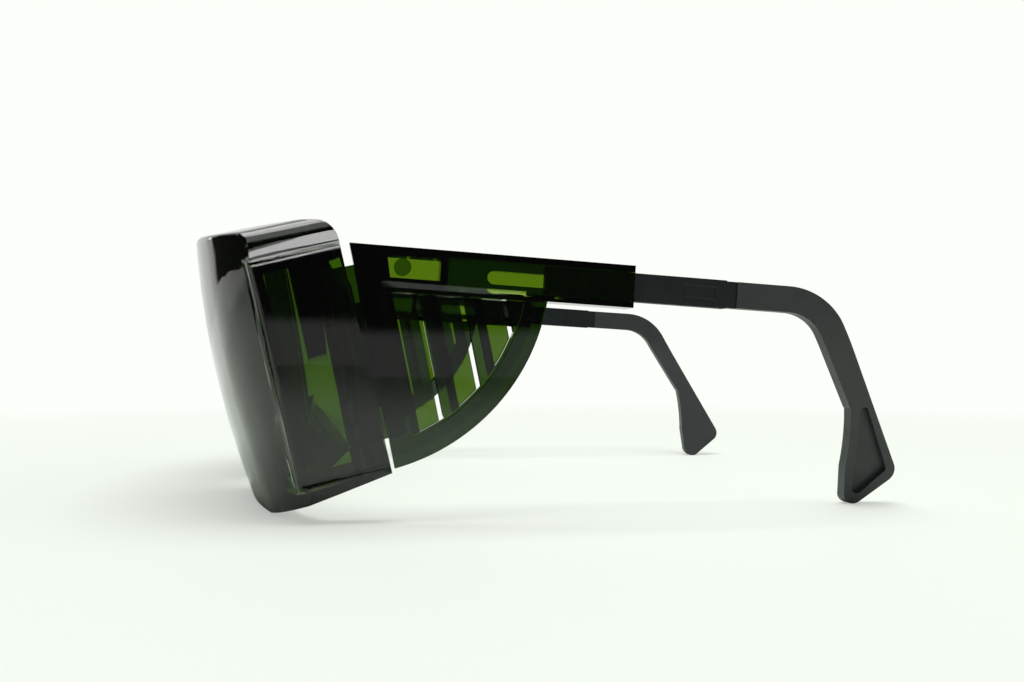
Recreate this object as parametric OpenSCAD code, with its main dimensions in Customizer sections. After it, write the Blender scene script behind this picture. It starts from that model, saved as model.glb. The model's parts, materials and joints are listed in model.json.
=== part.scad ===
// Welding spectacles worn over ordinary glasses: a one-piece shaded front, two side
// shields that fold on steel pins, and two temples that slide in the shields' rails.
// +X is the wearer's left, +Y runs back along the temples, +Z is up, and the glasses
// stand on z = 0 with both temples open and pulled out.

/* [Front shell] */
// How far the front leans forward from upright, in degrees
front_lean = 12.9; // [8:0.1:16]
// Width over the shell's side walls, without the raised hinge panels
shell_width = 146.4; // [124:0.2:176]
// Height of the brow above the surface that the glasses stand on
shell_height = 62.8; // [58:0.2:74]
// Wall thickness of the shell
shell_wall = 2.0; // [1.6:0.1:2.8]
// From the hinge datum forward to the front of the lens
lens_reach = 31.8; // [28:0.2:38]
// From the hinge datum back to the rear edge of the shell
shell_rear = 6.8; // [6:0.1:8]
// Radius of the lens across its middle
lens_radius = 190; // [160:1:230]
// Radius of the lens where it wraps round to the temples
wrap_radius = 40; // [38:1:48]
// Width of each wrapped part, measured in from the side wall
wrap_width = 16.6; // [15:0.2:19]
// Radius of the lens from top to bottom
upright_radius = 220; // [200:5:400]
// Height of the brow's arch at the nose, up the lens
brow_rise = 71.7; // [70:0.1:76]
// Radius of that arch
brow_arch = 347; // [300:1:420]
// Radius of the roll between the arch and the side walls
brow_roll = 4; // [3:0.5:6]
// Radius of the rolled lower side edges
low_roll = 5; // [4:0.5:8]
// Depth of the brow's roof at the nose
roof_depth = 15; // [10:0.5:20]
// Width of the ledge along the lower edge
ledge_width = 6.4; // [5:0.5:10]

/* [Nose] */
// Half of the nose opening's width where its round top starts
nose_half_top = 9; // [7:0.5:11]
// Half of the nose opening's width at the floor
nose_half_low = 17; // [14:0.5:20]
// Height of the centre of the opening's round top, up the lens
nose_centre = 27; // [22:0.5:32]
// How far the nose rest stands back from the lens
nose_rest_depth = 9; // [6:0.5:12]
// Wall of the nose rest
nose_wall = 1.8; // [1.2:0.1:2.4]

/* [Hinge panel] */
// Lower edge of the raised panel, up the lens
panel_low = 10.5; // [9:0.1:12]
// Upper edge of the raised panel, up the lens
panel_high = 57.2; // [52:0.1:60]
// How far the panel stands out from the side wall
panel_stand = 1.8; // [1.2:0.1:2.4]
// Thickness of the panel over its hollow
panel_skin = 1.7; // [1.4:0.1:2.4]
// Width of the panel's thick border
panel_border = 2.5; // [2:0.1:3.5]
// How far the border reaches inward behind the side wall
border_depth = 1.5; // [0.5:0.1:2]

/* [Hinge] */
// Radius of the hinge pin
pin_radius = 0.8; // [0.6:0.05:1]
// Radial clearance where the shield's knuckle turns on the pin
knuckle_clearance = 0.05; // [0.02:0.01:0.1]
// Radial clearance of the pin in the shell's bosses
boss_clearance = 0.02; // [0.01:0.01:0.05]
// Radius of the knuckle and the bosses
knuckle_radius = 2.3; // [2:0.05:2.4]
// From the panel's outer face in to the pin's axis
pin_inset = 4.8; // [4.7:0.1:5.6]
// From the hinge datum back to the pin's axis
pin_back = 1.6; // [1:0.1:2]
// Length of the lower boss
low_boss = 5.4; // [4:0.1:7]
// Length of the upper boss
high_boss = 4.1; // [3:0.1:5]
// Gap between the knuckle's ends and the bosses
knuckle_gap = 0.3; // [0.2:0.05:0.6]

/* [Side shield] */
// Gap between the shell's rear edge and the shield's top front corner
shield_gap = 1.8; // [1.5:0.1:2.5]
// Lean of the shield's front edge from upright, in degrees
shield_edge_lean = 11.4; // [8:0.1:12.5]
// Thickness of the shield's front bar and rim
shield_plate = 3.2; // [2.6:0.1:3.6]
// Radius of the shield's curved lower edge
shield_radius = 43.7; // [41:0.1:50]
// Width of the rim along the curved edge
shield_rim = 4.8; // [3.8:0.1:6]
// Width of the rim's lower outer step
rim_step = 2.3; // [1.4:0.1:3]
// How deep that step lies below the plate's face
rim_step_sink = 0.4; // [0.2:0.1:0.8]
// How deep the slatted field lies below the plate's face
field_sink = 1.1; // [0.6:0.1:1.3]
// Width of the plain bar along the front edge
front_bar = 4.9; // [4:0.1:6]
// How far both temples turn in from straight back, in degrees
toe_in = 1.5; // [0:0.1:3]

/* [Louvres] */
// Number of slatted windows in each shield
louvre_count = 3; // [1:1:3]
// Distance from one window to the next
louvre_pitch = 9.05; // [8:0.05:10]
// Width of each window
louvre_width = 5.4; // [4:0.1:6]
// From the front bar to the first window
louvre_start = 1.65; // [1:0.05:3]
// Open slit between a slat and the rear edge of its window
louvre_slit = 0.8; // [0.6:0.1:1.6]
// Thickness of the slats
slat_wall = 1.5; // [0.9:0.1:1.8]
// Air gap between the plate and a slat
slat_gap = 0.5; // [0.4:0.1:1]

/* [Rail] */
// Length of the rail along its top edge
rail_length = 60.8; // [50:0.2:74]
// Height of the rail
rail_height = 9.1; // [8.6:0.1:11]
// Depth of the rail from its outer face inward
rail_depth = 6.2; // [5.4:0.1:6.4]
// How far the rail and the slider drop towards the back, in degrees
rail_drop = 3.6; // [0:0.1:6]
// Thickness of the rail's outer wall
rail_wall = 1.25; // [0.9:0.05:1.5]
// Thickness of the rail's inner wall
rail_back_wall = 2.1; // [1.2:0.1:2.2]
// How far the chamfer under the rail's face reaches up from the field
rail_chamfer = 1.1; // [0.5:0.1:1.2]
// From the rail's front to the front end of its slider channel
channel_start = 20.7; // [18:0.1:24]
// Length of the light window in front of the channel
recess_length = 11.2; // [8:0.1:12]
// From the rail's front to that window
recess_start = 7.9; // [7:0.1:9]

/* [Slider] */
// Height of the slider
slider_height = 6.2; // [5.5:0.1:7]
// Clearance round the slider in its channel
slider_clearance = 0.15; // [0.1:0.01:0.3]
// How far the temple can be pushed in
slider_travel = 20.5; // [10:0.5:21]
// Length of the slider that stands out of the rail, up to its neck
slider_out = 21.3; // [20:0.1:28]
// Length of the neck between the slider and the ear hook
neck_length = 2.3; // [1.5:0.1:4]
// Height of the neck and of the ear hook's straight part
hook_height = 5.8; // [4.5:0.1:6]
// Number of catch notches in the rail
notch_count = 4; // [2:1:4]

/* [Ear hook] */
// Length of the hook's straight part
hook_straight = 12.2; // [9:0.1:18]
// Radius of the bend over the ear
bend_radius = 12.5; // [10:0.5:16]
// Slope of the hook's leg below level, in degrees
leg_slope = 62; // [56:1:66]
// How far the leg tips in towards the head, in degrees
leg_tip_in = 15; // [8:1:18]
// Thickness of the hook
hook_thickness = 3.2; // [2.6:0.1:3.6]
// Radius of the hook's leg where it is narrowest
leg_radius = 2.6; // [2:0.1:3]
// Length of the hook's flared foot, from its narrowest point down to the floor
foot_length = 24.4; // [20:0.2:28]
// Depth of the hollow in the foot's outer face
foot_hollow = 1.4; // [0.8:0.1:1.8]
// Length of the slider's tenon inside the hook
tenon_length = 7; // [5:0.1:9]
// Height of that tenon
tenon_height = 3.2; // [2.4:0.1:3.6]
// Thickness of that tenon
tenon_thickness = 1.4; // [1:0.1:1.6]

/* [Hidden] */
$fn = 96;
shade_green = [0.16, 0.26, 0.05];
shade_dark = [0.10, 0.17, 0.04];
steel = [0.75, 0.75, 0.73];
nylon_black = [0.10, 0.11, 0.12];
soft_black = [0.17, 0.18, 0.19];
far = 200;                       // longer than any cut needs to be
sliver = 0.01;                   // lets a cut run just past a face
overlap = 1;                     // how far joined shapes and through cuts run on

// The front's own frame: x across, y back and z up the leaning lens.
shell_half = shell_width / 2;
panel_face = shell_half + panel_stand;
lens_centre_y = lens_radius - lens_reach;
wrap_x = shell_half - wrap_width;
wrap_angle = asin(wrap_x / lens_radius);
wrap_centre_x = wrap_x - wrap_radius * sin(wrap_angle);
wrap_centre_y = lens_centre_y - (lens_radius - wrap_radius) * cos(wrap_angle);
lens_low = -6;
lens_high = 82;
lens_middle = 38;
lens_bands = 11;
function lens_sag(z) = upright_radius - sqrt(pow(upright_radius, 2) - pow(z - lens_middle, 2));
function wrap_y(x) = wrap_centre_y - sqrt(pow(wrap_radius, 2) - pow(x - wrap_centre_x, 2));
panel_setback = 0.9;             // from the lens's side edge back to the raised panel
panel_front = wrap_y(shell_half) + panel_setback;
ledge_front_y = -21;             // the lower edge leaves the floor here
ledge_front_z = -ledge_front_y * tan(front_lean);
ledge_rear_z = 9;                // and has risen this far at the shell's rear edge
roof_rear_roll = 5.5;
brow_centre = brow_rise - brow_arch;
brow_roll_x = shell_half - brow_roll;
brow_roll_rise = sqrt(pow(brow_arch - brow_roll, 2) - pow(brow_roll_x, 2));
pin_x = panel_face - pin_inset;
pin_low_recess = 0.2;            // how far the pin's ends lie inside the panel's edges
pin_high_recess = 1.4;
pin_low = panel_low + pin_low_recess;
pin_high = panel_high - pin_high_recess;
boss_setback = 0.5;              // the lower boss ends this far before the shell's rear edge
boss_low_top = panel_low + low_boss;
boss_high_bottom = panel_high - high_boss;
roof_end_width = 7;              // width of the brow's roof at its two ends
face_edge_x = shell_half - roof_end_width;
face_front_y = -lens_reach + roof_depth;
face_radius = (pow(face_edge_x, 2) + pow(shell_rear - face_front_y, 2)) / (2 * (shell_rear - face_front_y));

// Upright frame: corner points of the shield and the line that the temple follows.
function lean_y(y, z) = y * cos(front_lean) - z * sin(front_lean);
function lean_z(y, z) = y * sin(front_lean) + z * cos(front_lean);
corner_y = lean_y(shell_rear + shield_gap, panel_high);
corner_z = lean_z(shell_rear + shield_gap, panel_high);
arc_ahead = 1.65;                // centre of the shield's curved edge, from that corner
arc_below = 4.04;
arc_centre = [corner_y - arc_ahead, corner_z - arc_below];
field_tuck = 0.7;                // the sunk field runs this far up into the rail's face
louvre_margin = 0.3;             // from the field's edges to the windows
louvre_top_margin = 0.2;
arm_clearance = 0.1;             // the knuckle's arm stands out this much past the barrel
arm_reach = 3;                   // and runs this far behind the shell's rear edge
pad_inset = 0.4;                 // the arm's foot on the plate, from the plate's edge
pad_width = 2.6;
function rail_point(along, up) = [corner_y + along * cos(rail_drop) + up * sin(rail_drop),
                                  corner_z - along * sin(rail_drop) + up * cos(rail_drop)];
slider_thickness = rail_depth - rail_wall - rail_back_wall - 2 * slider_clearance;
rail_middle = -rail_height / 2;
end_clearance = 0.3;             // along the rail, at both ends of the travel
slider_start = channel_start + slider_travel + end_clearance;
neck_start = rail_length + slider_out;
hook_start = neck_start + neck_length;
hook_origin = rail_point(hook_start, rail_middle);
slider_face = panel_face - rail_wall - slider_clearance;
hook_face = slider_face + (hook_thickness - slider_thickness) / 2;
lug_length = 3;
lug_height = 2.4;
lug_side_clearance = 0.25;
lug_recess = 0.2;                // the lug ends this far below the rail's inner face
slot_setback = 8.7;              // from the channel's front end to the lug's slot
slot_start = channel_start + slot_setback;
lug_start = slot_start + end_clearance + slider_travel;
slot_end = lug_start + lug_length + end_clearance;
notch_setback = 2.2;             // from the slider's inner end to its catch notch
notch_width = 1.8;
notch_depth = 0.5;
recess_bottom = 2.7;             // from the rail's lower edge to its light window
recess_height = 4.6;
recess_slant = 0.9;              // the window's front edge leans like the shield's
recess_boss_back = 3.3;          // a low round boss stands in that window
recess_boss_radius = 1.8;
recess_boss_height = 0.8;
badge_setback = 2.2;             // a raised frame round a bare field, from the slider's end
badge_length = 7.5;
badge_height = 3;
badge_line = 0.3;
badge_relief = 0.15;
tenon_clearance = 0.05;
tenon_end_clearance = 0.2;

// The ear hook's middle line, from the end of the neck to the floor.
bend_centre = [hook_origin[0] + hook_straight * cos(rail_drop) - bend_radius * sin(rail_drop),
               hook_origin[1] - hook_straight * sin(rail_drop) - bend_radius * cos(rail_drop)];
function on_bend(angle, r) = [bend_centre[0] + r * sin(angle), bend_centre[1] + r * cos(angle)];
leg_top = on_bend(leg_slope, bend_radius);
leg_run = (leg_top[1] - foot_length) / sin(leg_slope);
leg_end = [leg_top[0] + leg_run * cos(leg_slope), foot_length];
toe_radius = 2.6;
heel_radius = 3;
toe_back = 1.7;                  // from the leg's narrowest point
heel_back = 8.1;
heel_rise = 5.3;                 // the heel's centre above the toe's
foot_front_radius = 60;          // the front of the foot is hollowed a little
foot_front_height = 14;
foot_front_bite = 1.4;
foot_lift = 0.07;                // the toe-in sets the feet this much lower
toe_centre = [leg_end[0] + toe_back, toe_radius + foot_lift];
heel_centre = [leg_end[0] + heel_back, toe_centre[1] + heel_rise];
pocket_radius = 0.9;             // round corners of the hollow in the foot's outer face
pocket_toe_radius = 1.4;
pocket_top = [leg_end[0] + 1.6, leg_end[1] - 2.4];
pocket_toe = [toe_centre[0] + 0.6, toe_centre[1] + 1.2];
pocket_heel = [heel_centre[0] - 0.2, heel_centre[1] + 0.4];
pocket_shift = (hook_thickness - foot_hollow) / cos(leg_tip_in);
tip_radius = 40;                 // radius of the leg's turn inward
tip_rise = 5;                    // that turn starts this far above the leg
tip_height = leg_top[1] + tip_rise;
tip_steps = 5;                   // flats that the turn is made of

// The origin is under the middle of the whole object.
brow_front_z = (shell_height + lens_reach * sin(front_lean)) / cos(front_lean);
front_y = lean_y(-lens_reach + lens_sag(brow_front_z), brow_front_z);
toe_in_draw = 0.09;              // the toe-in brings the heels this much forward
back_y = heel_centre[0] + heel_radius - toe_in_draw;
middle_y = (front_y + back_y) / 2;

module place() translate([0, -middle_y, 0]) children();
module lean() rotate([front_lean, 0, 0]) children();
module both() for (side = [0, 1]) mirror([side, 0, 0]) children();
module box(low, high) translate(low) cube(high - low);

// Turns something by the toe-in about the left hinge pin.
module toe() {
    lean() translate([pin_x, pin_back, 0]) rotate([0, 0, toe_in]) translate([-pin_x, -pin_back, 0])
        rotate([-front_lean, 0, 0]) children();
}

// Extrudes an outline drawn in y and z from one x to another.
module across(x_low, x_high)
    translate([x_low, 0, 0]) rotate([90, 0, 90]) linear_extrude(x_high - x_low) children();

// Puts an outline drawn along and above the rail's top edge where the rail is.
module along_rail() translate([corner_y, corner_z]) rotate(-rail_drop) children();

// ---- Front shell ----

module lens_round(radius, inset) {
    rotate_extrude($fn = 180) polygon(concat([[0, lens_low], [0, lens_high]],
        [for (i = [lens_bands:-1:0]) let (z = lens_low + i * (lens_high - lens_low) / lens_bands)
            [radius - inset - lens_sag(z), z]]));
}

// The lens's front and sides as a solid, its skin moved in by inset.
module lens_body(inset) {
    reach = 4 * lens_radius / cos(wrap_angle);
    intersection() {
        translate([0, lens_centre_y, 0]) lens_round(lens_radius, inset);
        translate([0, lens_centre_y, lens_low]) linear_extrude(lens_high - lens_low)
            polygon([[0, 0], [reach * sin(wrap_angle), -reach * cos(wrap_angle)],
                     [-reach * sin(wrap_angle), -reach * cos(wrap_angle)]]);
    }
    for (side = [-1, 1]) translate([side * wrap_centre_x, wrap_centre_y, 0]) lens_round(wrap_radius, inset);
}

// Seen from the side: the lower edge, the rear edge and the brow's rolled rear corner.
module side_outline(inset) {
    rear = inset > 0 ? far : shell_rear;
    rise = (ledge_rear_z - ledge_front_z) / (shell_rear - ledge_front_y);
    low = inset / cos(front_lean);
    difference() {
        polygon([[-far, far * tan(front_lean) + low],
                 [ledge_front_y, ledge_front_z + low],
                 [rear, ledge_front_z + rise * (rear - ledge_front_y) + low],
                 [rear, far], [-far, far]]);
        if (inset == 0) {
            roll_y = shell_rear - roof_rear_roll;
            roll_z = (shell_height - roof_rear_roll - roll_y * sin(front_lean)) / cos(front_lean);
            translate([roll_y, roll_z]) difference() {
                square([roof_rear_roll + overlap, 2 * roof_rear_roll]);
                circle(roof_rear_roll);
            }
        }
    }
}

// Seen along the leaning front: the side walls, a roll at the top of each, and the arch
// that spans them.
module brow_outline(inset) {
    half = shell_half - inset;
    translate([-half, -far]) square([2 * half, far + brow_centre + brow_roll_rise]);
    for (side = [-1, 1]) translate([side * brow_roll_x, brow_centre + brow_roll_rise])
        circle(brow_roll - inset);
    translate([0, brow_centre]) intersection() {
        circle(brow_arch - inset, $fn = 180);
        polygon([[0, 0], [2 * brow_roll_x, 2 * brow_roll_rise], [-2 * brow_roll_x, 2 * brow_roll_rise]]);
    }
}

// Seen from the front: a block with two round lower corners, drawn upside down.
module rolled_block(half, level, roll) {
    translate([-half, level - far]) square([2 * half, far - roll]);
    translate([-half + roll, level - far]) square([2 * (half - roll), far]);
    for (side = [-1, 1]) translate([side * (half - roll), level - roll]) circle(roll);
}

// The shell's outer shape, or its hollow where inset is the wall.
module shell_body(inset) {
    intersection() {
        lean() lens_body(inset);
        lean() across(-far, far) side_outline(inset);
        lean() up_front(-far, far) brow_outline(inset);
        box([-far, -far, -far], [far, far, shell_height - inset]);
        lean() translate([0, -far, 0]) rotate([-90, 0, 0]) linear_extrude(2 * far)
            rolled_block(shell_half - inset, -ledge_front_z - inset, low_roll - inset);
    }
}

module nose_outline(grow) {
    translate([0, nose_centre]) circle(nose_half_top + grow);
    polygon([[-nose_half_top - grow, nose_centre], [nose_half_top + grow, nose_centre],
             [nose_half_low + grow, lens_low], [-nose_half_low - grow, lens_low]]);
}

// Extrudes an outline drawn in x and z of the leaning front from one y to another.
module up_front(y_low, y_high)
    translate([0, y_high, 0]) rotate([90, 0, 0]) linear_extrude(y_high - y_low) children();

// The raised panel: a skin inside a thick border that is open at the rear.
module hinge_panel() difference() {
    box([shell_half - shell_wall - border_depth, panel_front, panel_low],
        [panel_face, shell_rear, panel_high]);
    panel_hollow();
}

module panel_hollow() {
    box([0, panel_front + panel_border, panel_low + panel_border],
        [panel_face - panel_skin, shell_rear + overlap, panel_high - panel_border]);
}

module hinge_bosses() {
    for (span = [[panel_low, boss_low_top, shell_rear - boss_setback],
                 [boss_high_bottom, panel_high, pin_back + knuckle_radius]]) {
        translate([pin_x, pin_back, span[0]]) cylinder(r = knuckle_radius, h = span[1] - span[0]);
        box([pin_x, pin_back - knuckle_radius, span[0]], [panel_face - sliver, span[2], span[1]]);
    }
}

// What the face needs: a curved cut in the roof for the forehead, and all but a
// ledge of the lower wall.
module face_clearance() lean() {
    translate([0, face_front_y + face_radius, panel_high + overlap])
        cylinder(r = face_radius, h = far, $fn = 180);
    intersection() {
        box([ledge_width - shell_half, -far, lens_low], [shell_half - ledge_width, far, lens_middle]);
        lens_body(ledge_width);
    }
}

module nose_rest() intersection() {
    shell_body(0);
    lean() up_front(-lens_reach - overlap, -lens_reach + shell_wall + nose_rest_depth) nose_outline(nose_wall);
}

module pin_bores() both() translate([pin_x, pin_back, panel_low - overlap])
    cylinder(r = pin_radius + boss_clearance, h = pin_high + pin_low_recess + overlap - panel_low);

module front_shield() color(shade_dark) place() difference() {
    union() {
        difference() {
            shell_body(0);
            shell_body(shell_wall);
            face_clearance();
            lean() both() panel_hollow();
        }
        lean() both() hinge_panel();
        lean() both() hinge_bosses();
        nose_rest();
    }
    lean() up_front(-far, far) nose_outline(0);
    lean() pin_bores();
}

// ---- Hinge pins ----

module hinge_pin()
    lean() translate([pin_x, pin_back, pin_low]) cylinder(r = pin_radius, h = pin_high - pin_low);
module hinge_pin_left() color(steel) place() hinge_pin();
module hinge_pin_right() color(steel) place() mirror([1, 0, 0]) hinge_pin();

// ---- Side shield ----

// Everything behind the shield's leaning front edge, less a margin.
module behind_edge(margin) {
    translate([corner_y, corner_z]) rotate(shield_edge_lean) translate([margin, -far])
        square([2 * far, 2 * far]);
}

module rail_outline() intersection() {
    along_rail() translate([-far, -rail_height]) square([rail_length + far, rail_height]);
    behind_edge(0);
}

module shield_outline(rim) {
    intersection() {
        translate(arc_centre) circle(shield_radius - rim, $fn = 180);
        along_rail() translate([-far, -2 * far]) square([3 * far, 2 * far - rail_height / 2]);
        behind_edge(0);
    }
}

// The sunk field: behind the front bar, below the rail and inside the rim.
module field_outline(rim) intersection() {
    shield_outline(rim);
    behind_edge(front_bar);
    along_rail() translate([-far, -2 * far]) square([3 * far, 2 * far - rail_height + field_tuck]);
}

module louvre_strip(number, front, rear) {
    start = front_bar + louvre_start + number * louvre_pitch;
    intersection() {
        field_outline(shield_rim + louvre_margin);
        difference() {
            behind_edge(start + front);
            behind_edge(start + rear);
        }
        along_rail() translate([-far, -2 * far]) square([3 * far, 2 * far - rail_height - louvre_top_margin]);
    }
}

module louvre_slats(number) {
    plate_back = panel_face - shield_plate;
    slat_back = plate_back - slat_gap - slat_wall;
    across(slat_back, plate_back - slat_gap) louvre_strip(number, -slat_wall, louvre_width - louvre_slit);
    across(slat_back, plate_back + sliver) louvre_strip(number, -slat_wall, 0);
}

module knuckle() lean() {
    barrel_low = boss_low_top + knuckle_gap;
    barrel_high = boss_high_bottom - knuckle_gap;
    arm_face = pin_x + knuckle_radius + arm_clearance;
    pad_front = shell_rear + shield_gap + pad_inset;
    translate([pin_x, pin_back, barrel_low]) cylinder(r = knuckle_radius, h = barrel_high - barrel_low);
    box([pin_x, pin_back, barrel_low], [arm_face, shell_rear + arm_reach, barrel_high]);
    box([pin_x, pad_front, barrel_low],
        [panel_face - shield_plate + sliver, pad_front + pad_width, barrel_high]);
}

module rail_block() across(panel_face - rail_depth, panel_face) rail_outline();

// The slope between the rail's face and the sunk field.
module face_chamfer() intersection() {
    translate([panel_face, corner_y, corner_z]) rotate([-rail_drop, 0, 0])
        translate([0, 0, field_tuck - rail_height]) rotate([-90, 0, 0]) linear_extrude(rail_length)
            polygon([[0, 0], [-field_sink, 0], [0, -rail_chamfer], [overlap, -rail_chamfer], [overlap, 0]]);
    across(panel_face - field_sink - overlap, panel_face + 2 * overlap) intersection() {
        shield_outline(shield_rim);
        behind_edge(front_bar);
    }
}

module channel() {
    half = slider_height / 2 + slider_clearance;
    across(panel_face - rail_depth + rail_back_wall, panel_face - rail_wall) along_rail()
        translate([channel_start, rail_middle - half])
            square([rail_length - channel_start + overlap, 2 * half]);
}

module lug_slot() {
    half = lug_height / 2 + lug_side_clearance;
    rail_back = panel_face - rail_depth;
    across(rail_back - overlap, rail_back + rail_back_wall + sliver) along_rail() {
        translate([slot_start + half, rail_middle]) circle(half);
        translate([slot_start + half, rail_middle - half]) square([slot_end - slot_start - half, 2 * half]);
    }
}

module catch_notches() {
    pitch = slider_travel / (notch_count - 1);
    channel_bottom = rail_middle - slider_height / 2 - slider_clearance;
    for (i = [0:notch_count - 1])
        across(panel_face - rail_depth - overlap, panel_face - rail_wall) along_rail()
            translate([slider_start + notch_setback - i * pitch, channel_bottom - notch_depth])
                square([notch_width, notch_depth + sliver]);
}

// A light window in the rail's inner side, with a low round boss in it.
module recess() {
    recess_top = recess_bottom + recess_height - rail_height;
    window_face = panel_face - rail_wall;
    difference() {
        across(panel_face - rail_depth - overlap, window_face) along_rail()
            polygon([[recess_start, recess_top], [recess_start + recess_length, recess_top],
                     [recess_start + recess_length, recess_bottom - rail_height],
                     [recess_start + recess_slant, recess_bottom - rail_height]]);
        across(window_face - recess_boss_height, panel_face) along_rail()
            translate([recess_start + recess_boss_back, recess_top - recess_height / 2])
                circle(recess_boss_radius);
    }
}

module side_shield() difference() {
    union() {
        difference() {
            across(panel_face - shield_plate, panel_face) shield_outline(0);
            across(panel_face - rim_step_sink, panel_face + overlap) difference() {
                shield_outline(0);
                shield_outline(rim_step);
            }
            for (i = [0:louvre_count - 1])
                across(panel_face - shield_plate - overlap, panel_face + overlap)
                    louvre_strip(i, 0, louvre_width);
        }
        for (i = [0:louvre_count - 1]) louvre_slats(i);
        rail_block();
        knuckle();
    }
    across(panel_face - field_sink, panel_face + overlap) field_outline(shield_rim);
    face_chamfer();
    channel();
    lug_slot();
    catch_notches();
    recess();
    lean() translate([pin_x, pin_back, 0]) cylinder(r = pin_radius + knuckle_clearance, h = panel_high);
}

module side_shield_left() color(shade_green) place() toe() side_shield();
module side_shield_right() color(shade_green) place() mirror([1, 0, 0]) toe() side_shield();

// ---- Slider ----

module bar(x_low, x_high, along_low, along_high, height)
    across(x_low, x_high) along_rail() translate([along_low, rail_middle - height / 2])
        square([along_high - along_low, height]);

module temple_slider() {
    slider_back = slider_face - slider_thickness;
    bar(slider_back, slider_face, slider_start, neck_start, slider_height);
    bar(slider_back, slider_face, neck_start - overlap, hook_start, hook_height);
    middle = (slider_face + slider_back) / 2;
    bar(middle - tenon_thickness / 2, middle + tenon_thickness / 2, hook_start - overlap,
        hook_start + tenon_length, tenon_height);
    // lug that runs in the rail's slot, round at its front
    lug_back = slider_back - rail_back_wall + lug_recess;
    lug_round = lug_start + lug_height / 2;
    bar(lug_back, slider_back + overlap, lug_round, lug_start + lug_length, lug_height);
    across(lug_back, slider_back + overlap) along_rail()
        translate([lug_round, rail_middle]) circle(lug_height / 2);
    // raised frame round a bare field
    badge_end = neck_start - badge_setback;
    badge_start = badge_end - badge_length;
    difference() {
        bar(slider_face - overlap, slider_face + badge_relief, badge_start, badge_end, badge_height);
        bar(slider_face - 2 * overlap, slider_face + overlap, badge_start + badge_line, badge_end - badge_line,
            badge_height - 2 * badge_line);
    }
}

module temple_slider_left() color(nylon_black) place() toe() temple_slider();
module temple_slider_right() color(nylon_black) place() mirror([1, 0, 0]) toe() temple_slider();

// ---- Ear hook ----

module hook_outline() {
    half = hook_height / 2;
    translate(hook_origin) rotate(-rail_drop) translate([0, -half])
        square([hook_straight + sliver, hook_height]);
    intersection() {
        difference() {
            translate(bend_centre) circle(bend_radius + half);
            translate(bend_centre) circle(bend_radius - half);
        }
        polygon([bend_centre, on_bend(rail_drop, far), on_bend((rail_drop + leg_slope) / 2, 2 * far),
                 on_bend(leg_slope, far)]);
    }
    hull() {
        translate(leg_top) rotate(-leg_slope) translate([-sliver, -half]) square([sliver, hook_height]);
        translate(leg_end) circle(leg_radius);
    }
    difference() {
        hull() {
            translate(leg_end) circle(leg_radius);
            translate(toe_centre) circle(toe_radius);
            translate(heel_centre) circle(heel_radius);
        }
        translate([leg_end[0] - leg_radius - foot_front_radius + foot_front_bite, foot_front_height])
            circle(foot_front_radius, $fn = 180);
    }
}

// The hook seen from behind: upright at the top, tipped in below the bend.
module hook_slab() {
    turn = [hook_face - tip_radius, tip_height];
    function on_turn(angle, inset) = [turn[0] + (tip_radius - inset) * cos(angle),
                                      turn[1] - (tip_radius - inset) * sin(angle)];
    function below(p) = [p[0] - far * sin(leg_tip_in), p[1] - far * cos(leg_tip_in)];
    steps = [for (i = [0:tip_steps]) i * leg_tip_in / tip_steps];
    polygon(concat([[hook_face, tip_height + far]], [for (a = steps) on_turn(a, 0)],
        [below(on_turn(leg_tip_in, 0)), below(on_turn(leg_tip_in, hook_thickness))],
        [for (i = [tip_steps:-1:0]) on_turn(steps[i], hook_thickness)],
        [[hook_face - hook_thickness, tip_height + far]]));
}

module foot_hollow_outline() hull() {
    translate(pocket_top) circle(pocket_radius);
    translate(pocket_toe) circle(pocket_toe_radius);
    translate(pocket_heel) circle(pocket_radius);
}

// Extrudes the hook's slab from the front to behind the heel.
module slab_solid() translate([0, far, 0]) rotate([90, 0, 0]) linear_extrude(far) hook_slab();

module ear_hook() difference() {
    intersection() {
        across(0, far) hook_outline();
        slab_solid();
    }
    // socket for the slider's tenon
    middle = slider_face - slider_thickness / 2;
    half = tenon_thickness / 2 + tenon_clearance;
    bar(middle - half, middle + half, hook_start - overlap, hook_start + tenon_length + tenon_end_clearance,
        tenon_height + 2 * tenon_clearance);
    // hollow in the foot's outer face
    intersection() {
        across(0, far) foot_hollow_outline();
        translate([pocket_shift, 0, 0]) slab_solid();
    }
}

module ear_hook_left() color(soft_black) place() toe() ear_hook();
module ear_hook_right() color(soft_black) place() mirror([1, 0, 0]) toe() ear_hook();

front_shield();
hinge_pin_left();
hinge_pin_right();
side_shield_left();
side_shield_right();
temple_slider_left();
temple_slider_right();
ear_hook_left();
ear_hook_right();
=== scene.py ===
# %% [markdown]
# # Green welding spectacles
# The spectacles are seven mouldings and two steel pins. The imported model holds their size, their place
# and their joints. This lesson gives them their looks: rounded edges, clear green plastic that darkens
# with its thickness, and black temples with a fine moulded surface.

# %% Load the frame
import json
import math
import bpy
import bmesh
from mathutils import Matrix, Vector


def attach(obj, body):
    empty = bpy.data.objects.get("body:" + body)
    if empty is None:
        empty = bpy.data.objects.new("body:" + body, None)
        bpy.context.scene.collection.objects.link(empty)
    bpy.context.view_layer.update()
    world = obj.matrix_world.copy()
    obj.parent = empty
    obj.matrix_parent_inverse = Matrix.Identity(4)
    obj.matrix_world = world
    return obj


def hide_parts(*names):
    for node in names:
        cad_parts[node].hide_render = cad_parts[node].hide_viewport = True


MM, MICRON = 0.001, 0.000001

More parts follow.
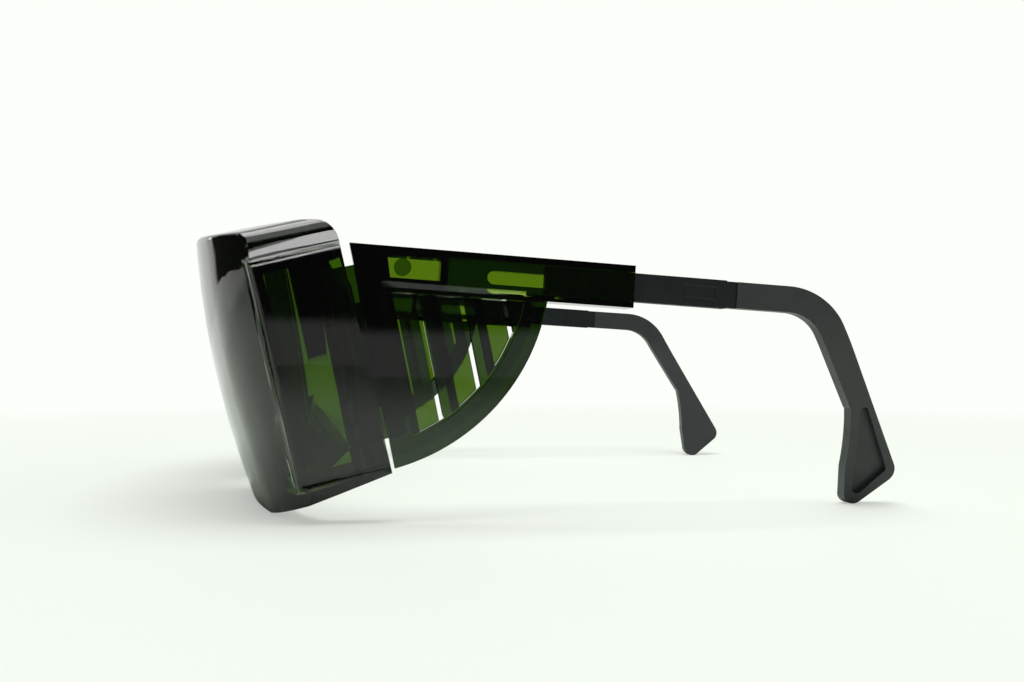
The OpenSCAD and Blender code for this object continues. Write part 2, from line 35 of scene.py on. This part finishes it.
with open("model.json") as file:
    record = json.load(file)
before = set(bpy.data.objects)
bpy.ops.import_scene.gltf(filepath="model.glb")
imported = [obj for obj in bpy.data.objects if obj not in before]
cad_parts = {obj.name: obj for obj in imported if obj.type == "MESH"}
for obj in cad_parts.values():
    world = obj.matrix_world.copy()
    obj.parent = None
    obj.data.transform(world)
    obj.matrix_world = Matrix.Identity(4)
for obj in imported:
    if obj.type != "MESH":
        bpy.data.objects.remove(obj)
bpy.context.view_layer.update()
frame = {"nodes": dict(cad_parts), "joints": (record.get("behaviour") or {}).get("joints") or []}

# %% [markdown]
# ## Camera
# The spectacles are seen from their left side, a little from the front, with the camera at lens height.
# Its distance sets how much larger the near temple looks than the far one.

# %% Camera
CAMERA_PLACE = Vector((0.2815, -0.038536, 0.0341))
CAMERA_TURN = math.radians(8.08)
CAMERA_TILT = math.radians(0.97)
CAMERA_LENS, CAMERA_SENSOR, CAMERA_NEAR = 35.156, 36, 0.005

bpy.ops.object.camera_add(location=CAMERA_PLACE)
camera = bpy.context.object
look = Vector((-math.cos(CAMERA_TURN) * math.cos(CAMERA_TILT),
               math.sin(CAMERA_TURN) * math.cos(CAMERA_TILT),
               math.sin(CAMERA_TILT)))
camera.rotation_euler = look.to_track_quat("-Z", "Y").to_euler()
camera.data.lens = CAMERA_LENS
camera.data.sensor_width = CAMERA_SENSOR
camera.data.clip_start = CAMERA_NEAR
bpy.context.scene.camera = camera
print("camera at", tuple(CAMERA_PLACE), "with a lens of", CAMERA_LENS, "mm")

# %% [markdown]
# ## Stage and light
# The spectacles stand on a pale floor under one large softbox. Clear plastic shows what it mirrors, so
# the studio round them matters as much as the lamp. It has a bright backdrop on the far side, a bright
# wall at the rear, a low glow at the height of the table, and a dim room everywhere else: the flat faces
# stay dark where they mirror the room, and the round ones fade from light to dark. The ceiling is seen in
# mirrors only, and it greys the faces that look up. What is seen straight or through the plastic is white
# all round.
#
# The floor glows a little for the eye, and so does its mirror image beyond the object, but it lights
# nothing. Far from the object it fades into the white of the backdrop, so no horizon line is seen from
# any side.

# %% Floor
FLOOR_SIZE = 8.0
FADE_START, FADE_END, FLOOR_GLOW = 0.12, 0.5, 0.42
MIRROR_START, MIRROR_END = -0.08, -0.35
FLOOR_COLOUR, FLOOR_ROUGHNESS = (0.82, 0.89, 0.80), 0.7
BACKDROP_COLOUR = (0.975, 1, 0.955, 1)


def plain_material(name, colour, roughness):
    """A new material with one shader, and that shader."""
    material = bpy.data.materials.new(name)
    material.use_nodes = True
    shader = material.node_tree.nodes["Principled BSDF"]
    shader.inputs["Base Color"].default_value = (*colour, 1)
    shader.inputs["Roughness"].default_value = roughness
    return material, shader


def between(tree, value, start, end, low=0, high=1, curve="SMOOTHSTEP"):
    """Goes from low to high while a value goes from start to end, and eases in and out by default."""
    node = tree.nodes.new("ShaderNodeMapRange")
    node.interpolation_type = curve
    node.inputs["From Min"].default_value = start
    node.inputs["From Max"].default_value = end
    node.inputs["To Min"].default_value = low
    node.inputs["To Max"].default_value = high
    tree.links.new(value, node.inputs["Value"])
    return node.outputs[0]


def joined(tree, kind, *values):
    """One value from several, each taken with the last by one kind of sum."""
    total = values[0]
    for value in values[1:]:
        node = tree.nodes.new("ShaderNodeMath")
        node.operation = kind
        tree.links.new(total, node.inputs[0])
        tree.links.new(value, node.inputs[1])
        total = node.outputs[0]
    return total


bpy.ops.mesh.primitive_plane_add(size=FLOOR_SIZE)
floor = bpy.context.object
floor.name = "floor"
floor_paint, shader = plain_material("pale floor", FLOOR_COLOUR, FLOOR_ROUGHNESS)
tree = floor_paint.node_tree
place = tree.nodes.new("ShaderNodeTexCoord")
reach = tree.nodes.new("ShaderNodeVectorMath")
reach.operation = "LENGTH"
tree.links.new(place.outputs["Object"], reach.inputs[0])
parts = tree.nodes.new("ShaderNodeSeparateXYZ")
tree.links.new(place.outputs["Object"], parts.inputs[0])
path = tree.nodes.new("ShaderNodeLightPath")
behind = between(tree, parts.outputs["X"], MIRROR_START, MIRROR_END)
mirrored = joined(tree, "MULTIPLY", path.outputs["Is Glossy Ray"], behind)
seen = joined(tree, "MAXIMUM", path.outputs["Is Camera Ray"], path.outputs["Is Transmission Ray"], mirrored)
fade = between(tree, reach.outputs["Value"], FADE_START, FADE_END, FLOOR_GLOW)
share = joined(tree, "MULTIPLY", fade, seen)
white = tree.nodes.new("ShaderNodeEmission")
white.inputs["Color"].default_value = BACKDROP_COLOUR
mix = tree.nodes.new("ShaderNodeMixShader")
tree.links.new(share, mix.inputs[0])
tree.links.new(shader.outputs[0], mix.inputs[1])
tree.links.new(white.outputs[0], mix.inputs[2])
tree.links.new(mix.outputs[0], tree.nodes["Material Output"].inputs["Surface"])
floor.data.materials.append(floor_paint)
print("floor of", FLOOR_SIZE, "m, white from", FADE_END, "m on")

# %% Studio round the object
ROOM_LIGHT, BACKDROP_LIGHT, REAR_LIGHT, TABLE_LIGHT, CEILING_LIGHT = 0.035, 0.9, 0.8, 0.45, 1.5
BACKDROP_EDGE, REAR_EDGE = (-0.66, -0.76), (0.35, 0.75)
TABLE_TOP, TABLE_SIDE, CEILING_EDGE = (0.045, 0.03), (0.4, 0.8), (0.4, 0.65)

world = bpy.data.worlds.new("studio")
bpy.context.scene.world = world
world.use_nodes = True
tree = world.node_tree
background = tree.nodes["Background"]
background.inputs["Color"].default_value = BACKDROP_COLOUR
direction = tree.nodes.new("ShaderNodeTexCoord")
parts = tree.nodes.new("ShaderNodeSeparateXYZ")
tree.links.new(direction.outputs["Generated"], parts.inputs[0])
path = tree.nodes.new("ShaderNodeLightPath")
backdrop = between(tree, parts.outputs["X"], *BACKDROP_EDGE, ROOM_LIGHT, BACKDROP_LIGHT)
rear = between(tree, parts.outputs["Y"], *REAR_EDGE, 0, REAR_LIGHT)
table = joined(tree, "MULTIPLY", between(tree, parts.outputs["Z"], *TABLE_TOP, 0, TABLE_LIGHT),
               between(tree, parts.outputs["X"], *TABLE_SIDE))
ceiling = joined(tree, "MULTIPLY", between(tree, parts.outputs["Z"], *CEILING_EDGE, 0, CEILING_LIGHT),
                 path.outputs["Is Glossy Ray"])
strength = joined(tree, "MAXIMUM", backdrop, rear, table, ceiling, path.outputs["Is Camera Ray"],
                  path.outputs["Is Transmission Ray"])
tree.links.new(strength, background.inputs["Strength"])
print("studio light: room", ROOM_LIGHT, "backdrop", BACKDROP_LIGHT, "rear", REAR_LIGHT)

# %% Softbox
SOFTBOX_PLACE, SOFTBOX_SIZE, SOFTBOX_POWER = (0.05, 0.0, 0.9), 0.7, 8

bpy.ops.object.light_add(type="AREA", location=SOFTBOX_PLACE)
softbox = bpy.context.object
softbox.name = "softbox"
softbox.data.size = SOFTBOX_SIZE
softbox.data.energy = SOFTBOX_POWER
print("softbox of", SOFTBOX_SIZE, "m at", SOFTBOX_PLACE)

# %% [markdown]
# ## Building a finish from nodes
# Real plastic is never perfectly even: it has hairline scratches from wiping, a grain from the mould and
# a little handling gloss. Each finish below is a shader whose roughness and bump come from noise in the
# object's own coordinates, so the marks stay in place on the piece. A stretched noise makes streaks, a
# fine one grain.

# %% Noise, roughness and bump


def noise(tree, scale, stretch=(1, 1, 1), detail=3, distortion=0):
    """A noise in object coordinates of scale waves a metre, drawn out along an axis by a small stretch."""
    place = tree.nodes.new("ShaderNodeTexCoord")
    mapping = tree.nodes.new("ShaderNodeMapping")
    mapping.inputs["Scale"].default_value = stretch
    texture = tree.nodes.new("ShaderNodeTexNoise")
    texture.inputs["Scale"].default_value = scale
    texture.inputs["Detail"].default_value = detail
    texture.inputs["Distortion"].default_value = distortion
    tree.links.new(place.outputs["Object"], mapping.inputs[0])
    tree.links.new(mapping.outputs[0], texture.inputs["Vector"])
    return texture.outputs[0]


def ramp(tree, value, start, end, low=0, high=1):
    """Goes evenly from low to high while a value goes from start to end."""
    return between(tree, value, start, end, low, high, "LINEAR")


def middle(span):
    """The middle of a range."""
    return sum(span) / 2


def bump(tree, shader, height, depth, strength=1.0, under=None):
    """Adds a bump of a real depth in metres to a shader, over another bump where there is one."""
    node = tree.nodes.new("ShaderNodeBump")
    node.inputs["Strength"].default_value = strength
    node.inputs["Distance"].default_value = depth
    tree.links.new(height, node.inputs["Height"])
    if under:
        tree.links.new(under, node.inputs["Normal"])
    tree.links.new(node.outputs[0], shader.inputs["Normal"])
    return node.outputs[0]


# %% [markdown]
# ## Clear green plastic
# The front and the side shields are moulded from one clear plastic with a green dye. The dye takes light
# away along its way through the plastic, so a thin wall is bright yellow-green and a thick or doubled one
# is nearly black. Volume Absorption does just that. The surface is polished, with faint wiping scratches
# and smears.

# %% Green plastic
DYE_COLOUR, DYE_DENSITY = (0.56, 0.68, 0.0), 4400
CLEAR_COLOUR, CLEAR_IOR, CLEAR_ROUGHNESS = (0.97, 1, 0.9), 1.57, (0.01, 0.04)
SMEARS, SMEAR_RANGE = 90, (0.35, 0.7)
HAIRLINES, HAIRLINE_RANGE, HAIRLINE_DEPTH = 900, (0.62, 0.70), 1 * MICRON
RIPPLES, RIPPLE_DEPTH = 60, 4 * MICRON


def green_plastic(name, streaks):
    """Clear plastic that darkens with its thickness; streaks stretches its hairlines along an axis."""
    material, shader = plain_material(name, CLEAR_COLOUR, middle(CLEAR_ROUGHNESS))
    shader.inputs["Transmission Weight"].default_value = 1
    shader.inputs["IOR"].default_value = CLEAR_IOR
    tree = material.node_tree
    smears = noise(tree, SMEARS, detail=4, distortion=1.5)
    tree.links.new(ramp(tree, smears, *SMEAR_RANGE, *CLEAR_ROUGHNESS), shader.inputs["Roughness"])
    hairlines = noise(tree, HAIRLINES, streaks, detail=2, distortion=0.6)
    fine = bump(tree, shader, ramp(tree, hairlines, *HAIRLINE_RANGE), HAIRLINE_DEPTH)
    bump(tree, shader, noise(tree, RIPPLES, detail=1), RIPPLE_DEPTH, strength=0.5, under=fine)
    dye = tree.nodes.new("ShaderNodeVolumeAbsorption")
    dye.inputs["Color"].default_value = (*DYE_COLOUR, 1)
    dye.inputs["Density"].default_value = DYE_DENSITY
    tree.links.new(dye.outputs[0], tree.nodes["Material Output"].inputs["Volume"])
    return material


ALONG_LENS, ALONG_SHIELD = (0.06, 1, 1), (1, 0.06, 1)
lens_plastic = green_plastic("green lens plastic", ALONG_LENS)
shield_plastic = green_plastic("green shield plastic", ALONG_SHIELD)
print("clear plastics", lens_plastic.name, shield_plastic.name)

# %% [markdown]
# ## Black plastics and steel
# The slider is nylon with the fine eroded texture of its mould, the hook a softer plastic with a satin
# skin, and the pins are bright steel wire, drawn along its length.

# %% Black nylon, soft black and steel
NYLON_COLOUR, NYLON_SHINE, NYLON_ROUGHNESS = (0.008, 0.011, 0.012), 0.25, (0.40, 0.54)
NYLON_GRAIN, NYLON_DEPTH, NYLON_WEAR = 3200, 40 * MICRON, 150
SOFT_COLOUR, SOFT_SHINE, SOFT_ROUGHNESS = (0.034, 0.038, 0.039), 0.4, (0.36, 0.52)
SOFT_GRAIN, SOFT_DEPTH, SOFT_WEAR = 1500, 20 * MICRON, 120
STEEL_COLOUR, STEEL_ROUGHNESS = (0.62, 0.62, 0.6), (0.22, 0.38)
WIRE_LINES, WIRE_DEPTH, ALONG_PIN = 5000, 10 * MICRON, (1, 1, 0.02)
WEAR_RANGE = (0.3, 0.7)


def eroded_nylon():
    """Black nylon with a spark-eroded grain."""
    material, shader = plain_material("black nylon", NYLON_COLOUR, middle(NYLON_ROUGHNESS))
    shader.inputs["Specular IOR Level"].default_value = NYLON_SHINE
    tree = material.node_tree
    bump(tree, shader, noise(tree, NYLON_GRAIN, detail=2), NYLON_DEPTH, strength=0.5)
    wear = noise(tree, NYLON_WEAR)
    tree.links.new(ramp(tree, wear, *WEAR_RANGE, *NYLON_ROUGHNESS), shader.inputs["Roughness"])
    return material


def satin_black():
    """The ear hook's soft black plastic."""
    material, shader = plain_material("soft black", SOFT_COLOUR, middle(SOFT_ROUGHNESS))
    shader.inputs["Specular IOR Level"].default_value = SOFT_SHINE
    tree = material.node_tree
    bump(tree, shader, noise(tree, SOFT_GRAIN), SOFT_DEPTH, strength=0.4)
    wear = noise(tree, SOFT_WEAR, detail=5, distortion=0.8)
    tree.links.new(ramp(tree, wear, *WEAR_RANGE, *SOFT_ROUGHNESS), shader.inputs["Roughness"])
    return material


def drawn_steel():
    """Bright steel wire with fine lines along the pin."""
    material, shader = plain_material("drawn steel", STEEL_COLOUR, middle(STEEL_ROUGHNESS))
    shader.inputs["Metallic"].default_value = 1
    tree = material.node_tree
    lines = noise(tree, WIRE_LINES, ALONG_PIN, detail=2)
    bump(tree, shader, lines, WIRE_DEPTH, strength=0.4)
    tree.links.new(ramp(tree, lines, *WEAR_RANGE, *STEEL_ROUGHNESS), shader.inputs["Roughness"])
    return material


black_nylon, soft_black, pin_steel = eroded_nylon(), satin_black(), drawn_steel()

# %% [markdown]
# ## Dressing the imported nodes
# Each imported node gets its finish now. A copy that stands for a node later takes the finish with it, and
# the steel pins stay as packed.

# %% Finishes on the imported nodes
finishes = {"front_shield": lens_plastic, "side_shield": shield_plastic, "hinge_pin": pin_steel,
            "temple_slider": black_nylon, "ear_hook": soft_black}
for name, node in frame["nodes"].items():
    for kind, finish in finishes.items():
        if name.startswith(kind):
            node.data.materials.clear()
            node.data.materials.append(finish)
print("finishes on", len(frame["nodes"]), "nodes")

# %% [markdown]
# ## Rounding a moulding's edges
# No moulding has a sharp edge: the tool's corners have a small radius, and it is what catches the light
# as a thin bright line. The rails, slots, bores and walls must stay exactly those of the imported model, so
# each moulding starts as a copy of its node. The copy's loose triangles are merged and flat faces become
# one face. Chosen edges then get their own rolls and fillets in edit mode, and a bevel modifier rounds
# what is left.

# %% Selecting and copying
MERGE_DISTANCE, FLAT_ANGLE = 1 * MICRON, math.radians(0.5)


def only(piece):
    """Makes one piece the only selected one."""
    bpy.ops.object.select_all(action="DESELECT")
    piece.select_set(True)
    bpy.context.view_layer.objects.active = piece


def edit(piece):
    """Opens a piece in edit mode, by edges, with nothing selected."""
    only(piece)
    bpy.ops.object.mode_set(mode="EDIT")
    bpy.ops.mesh.select_mode(type="EDGE")
    bpy.ops.mesh.select_all(action="DESELECT")


def pick_edges(piece, wanted):
    """Selects the edges for which wanted(edge) is true, and nothing else."""
    bpy.ops.mesh.select_all(action="DESELECT")
    mesh = bmesh.from_edit_mesh(piece.data)
    chosen = [edge for edge in mesh.edges if edge.is_manifold and wanted(edge)]
    for edge in chosen:
        edge.select_set(True)
    bmesh.update_edit_mesh(piece.data)
    return len(chosen)


def merged_copy(node_name, piece_name):
    """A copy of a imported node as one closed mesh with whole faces."""
    node = frame["nodes"][node_name]
    piece = node.copy()
    piece.data = node.data.copy()
    piece.name = piece_name
    bpy.context.scene.collection.objects.link(piece)
    edit(piece)
    bpy.ops.mesh.select_all(action="SELECT")
    bpy.ops.mesh.remove_doubles(threshold=MERGE_DISTANCE)
    bpy.ops.mesh.dissolve_limited(angle_limit=FLAT_ANGLE)
    bpy.ops.object.mode_set(mode="OBJECT")
    return piece


# %% Rolling, rounding and standing in
ROLL_STEPS, FLAT_WEIGHT = 4, 50
SHARP_ANGLE = math.radians(28)


def roll_edges(piece, wanted, width):
    """Rolls the edges for which wanted(edge) is true, by a width in millimetres."""
    edit(piece)
    count = pick_edges(piece, wanted)
    bpy.ops.mesh.bevel(offset=width * MM, segments=ROLL_STEPS, affect="EDGES")
    bpy.ops.object.mode_set(mode="OBJECT")
    print(piece.name, "rolled", count, "edges by", width, "mm")


def round_off(piece, width, steps=2):
    """Rounds every edge that is still sharp, and shades the piece smooth."""
    only(piece)
    bevel = piece.modifiers.new("rounding", "BEVEL")
    bevel.width = width * MM
    bevel.segments = steps
    bevel.angle_limit = SHARP_ANGLE
    bpy.ops.object.modifier_apply(modifier="rounding")
    bpy.ops.object.shade_smooth_by_angle(angle=SHARP_ANGLE)
    flat = piece.modifiers.new("flat faces", "WEIGHTED_NORMAL")
    flat.weight = FLAT_WEIGHT
    flat.keep_sharp = True
    bpy.ops.object.modifier_apply(modifier="flat faces")
    print(piece.name, "has", len(piece.data.polygons), "faces")


def stand_for(piece, node_name, body):
    """Gives a piece its body, and lets it stand for a node by hiding the node."""
    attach(piece, body)
    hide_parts(node_name)


# %% [markdown]
# ## The front
# The front leans forward, and its panels and brow are square to the lens, not to the floor. The left
# hinge's axis is the lens's own upright, so a small frame is built on it, and edges are chosen by their
# place there. The raised panel's outer edges get a round of a millimetre, the corner where it rises from
# the lens is filled with a fillet, and the brow's front edge is softened.

# %% The lens's own frame
ACROSS = Vector((1, 0, 0))
PIN_PLACE = Vector((70.2, 1.6, 34)) * MM
SAME_SIZE = 0.03

fold = next(joint for joint in frame["joints"] if joint["name"] == "left_fold")
lens_up = Vector(fold["axis"]).normalized()
lens_back = lens_up.cross(ACROSS)
lens_turn = Matrix((ACROSS, lens_back, lens_up)).transposed()
lens_frame = lens_turn.to_4x4()
lens_frame.translation = Vector(fold["pos_m"]) - lens_turn @ PIN_PLACE
to_lens = lens_frame.inverted()
print("the lens leans by", round(math.degrees(lens_up.angle(Vector((0, 0, 1)))), 2), "degrees")


def ends(edge):
    """Both ends of an edge in the lens's frame, in millimetres."""
    return [to_lens @ vert.co / MM for vert in edge.verts]


def near(value, wanted):
    """True where two sizes in millimetres are the same."""
    return abs(value - wanted) < SAME_SIZE


# %% The front's edges
# Places in the lens's frame, and the widths of the rounds, all in millimetres.
PANEL_FACE, PANEL_LOW, PANEL_HIGH = 75, 10.5, 57.2
PANEL_ROUND, PANEL_FILLET, BROW_ROUND = 1.1, 1.6, 0.8
SHELL_HALF, SHELL_REAR = 73.2, 6.8
FOOT_INSIDE, FOOT_TIP, FOOT_FRONT, ROOM = 71.3, -15, -11, 0.1
BROW_LOWEST, BROW_REAR, BROW_HALF = 53, -13, 71
CORNER = math.radians(17)


def panel_edge(edge):
    """An outer edge of a raised panel, except at the rear."""
    a, b = ends(edge)
    on_face = near(abs(a.x), PANEL_FACE) and near(abs(b.x), PANEL_FACE)
    at_rear = near(a.y, SHELL_REAR) and near(b.y, SHELL_REAR)
    return on_face and not at_rear and edge.calc_face_angle() > CORNER


def panel_foot(edge):
    """An inner corner where a panel rises from the shell."""
    a, b = ends(edge)
    m = (a + b) / 2
    outside = FOOT_INSIDE < abs(m.x) < SHELL_HALF + ROOM and FOOT_TIP < m.y < SHELL_REAR + ROOM
    level = PANEL_LOW - ROOM < m.z < PANEL_HIGH + ROOM
    around = near(m.z, PANEL_LOW) or near(m.z, PANEL_HIGH) or m.y < FOOT_FRONT
    return outside and level and around and edge.calc_face_angle_signed() < -CORNER


def brow_edge(edge):
    """The front edge of the brow, where the lens meets the roof and the arch."""
    a, b = ends(edge)
    high = min(vert.co.z for vert in edge.verts) > BROW_LOWEST * MM
    ahead = max(a.y, b.y) < BROW_REAR and abs(a.x) < BROW_HALF
    return high and ahead and edge.calc_face_angle_signed() > CORNER


# %% [markdown]
# ## Shading round faces truly
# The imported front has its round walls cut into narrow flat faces. On a polished moulding even a tiny turn
# between two of them shows as a stripe in what it mirrors. The walls lie on known cylinders: the lens,
# its wrap at each side, the arch of the brow and the roll along its ends, each with an inner wall at one
# thickness. So every corner of such a face is given the direction straight away from its cylinder's axis.

# %% The front's round faces
LENS_RADIUS, LENS_REACH, WRAP_RADIUS, WRAP_WIDTH = 190, 31.8, 40, 16.6
BROW_RISE, BROW_ARCH, BROW_ROLL, WALL = 71.7, 347, 4, 2
ON_ROUND, FACING = 0.06, 0.9

wrap_x = SHELL_HALF - WRAP_WIDTH
wrap_share = (LENS_RADIUS - WRAP_RADIUS) / LENS_RADIUS
lens_y = LENS_RADIUS - LENS_REACH
wrap_y = lens_y - wrap_share * math.sqrt(LENS_RADIUS ** 2 - wrap_x ** 2)
arch_z = BROW_RISE - BROW_ARCH
roll_x = SHELL_HALF - BROW_ROLL
roll_z = arch_z + math.sqrt((BROW_ARCH - BROW_ROLL) ** 2 - roll_x ** 2)
print("wrap axis at", round(wrap_share * wrap_x, 2), round(wrap_y, 2))
print("roll axis at", roll_x, round(roll_z, 2))
ALONG_UP, ALONG_BACK = Vector((1, 1, 0)), Vector((1, 0, 1))
# For each round: the axes across its cylinder, the place of the cylinder's own axis, and its radius.
ROUND_FACES = ((ALONG_UP, Vector((0, lens_y, 0)), LENS_RADIUS),
               (ALONG_UP, Vector((wrap_share * wrap_x, wrap_y, 0)), WRAP_RADIUS),
               (ALONG_BACK, Vector((0, 0, arch_z)), BROW_ARCH),
               (ALONG_BACK, Vector((roll_x, 0, roll_z)), BROW_ROLL))


def arms(face, mesh, across, centre):
    """From a round's axis to each corner of a face, in millimetres, on whichever side the face is."""
    found = []
    for vert in face.vertices:
        place = to_lens @ mesh.vertices[vert].co / MM
        side = math.copysign(1, place.x)
        found.append((place - Vector((side * centre.x, centre.y, centre.z))) * across)
    return found


def shade_true(piece):
    """Shades each round face by the cylinder that it lies on, so that it mirrors evenly."""
    mesh = piece.data
    normals = [corner.vector.copy() for corner in mesh.corner_normals]
    count = 0
    for face in mesh.polygons:
        for across, centre, radius in ROUND_FACES:
            lines = arms(face, mesh, across, centre)
            for size, way in ((radius, 1), (radius - WALL, -1)):
                outward = way * (lens_turn @ lines[0]).normalized()
                off = max(abs(line.length - size) for line in lines)
                if off < ON_ROUND and outward.dot(face.normal) > FACING:
                    count += 1
                    for loop, line in zip(face.loop_indices, lines):
                        normals[loop] = way * (lens_turn @ line).normalized()
    mesh.normals_split_custom_set(normals)
    print(piece.name, "has", count, "round faces")


# %% Front moulding
FRONT_EDGE = 0.32

front = merged_copy("front_shield", "front_moulding")
roll_edges(front, panel_edge, PANEL_ROUND)
roll_edges(front, panel_foot, PANEL_FILLET)
roll_edges(front, brow_edge, BROW_ROUND)
round_off(front, FRONT_EDGE)
shade_true(front)
stand_for(front, "front_shield", "front")

# %% [markdown]
# ## Side shields, sliders and hooks
# The shields and sliders have crisp edges, rounded by a third of a millimetre or so. The ear hooks are
# soft to the skin, so theirs are wider and take more steps. Each side is made in the same way from its
# own nodes.

# %% Side pieces
SIDE_EDGE, HOOK_EDGE = 0.3, 0.8

for side in ("left", "right"):
    shield = merged_copy(f"side_shield_{side}", f"shield_moulding_{side}")
    round_off(shield, SIDE_EDGE)
    stand_for(shield, f"side_shield_{side}", f"{side}_shield")
    slider = merged_copy(f"temple_slider_{side}", f"slider_moulding_{side}")
    round_off(slider, SIDE_EDGE, steps=3)
    stand_for(slider, f"temple_slider_{side}", f"{side}_temple")
    hook = merged_copy(f"ear_hook_{side}", f"hook_moulding_{side}")
    round_off(hook, HOOK_EDGE, steps=4)
    stand_for(hook, f"ear_hook_{side}", f"{side}_temple")

# %% [markdown]
# ## Colours as written
# The colours are shown as they are written.

# %% Colours as written
bpy.context.scene.view_settings.view_transform = "Standard"
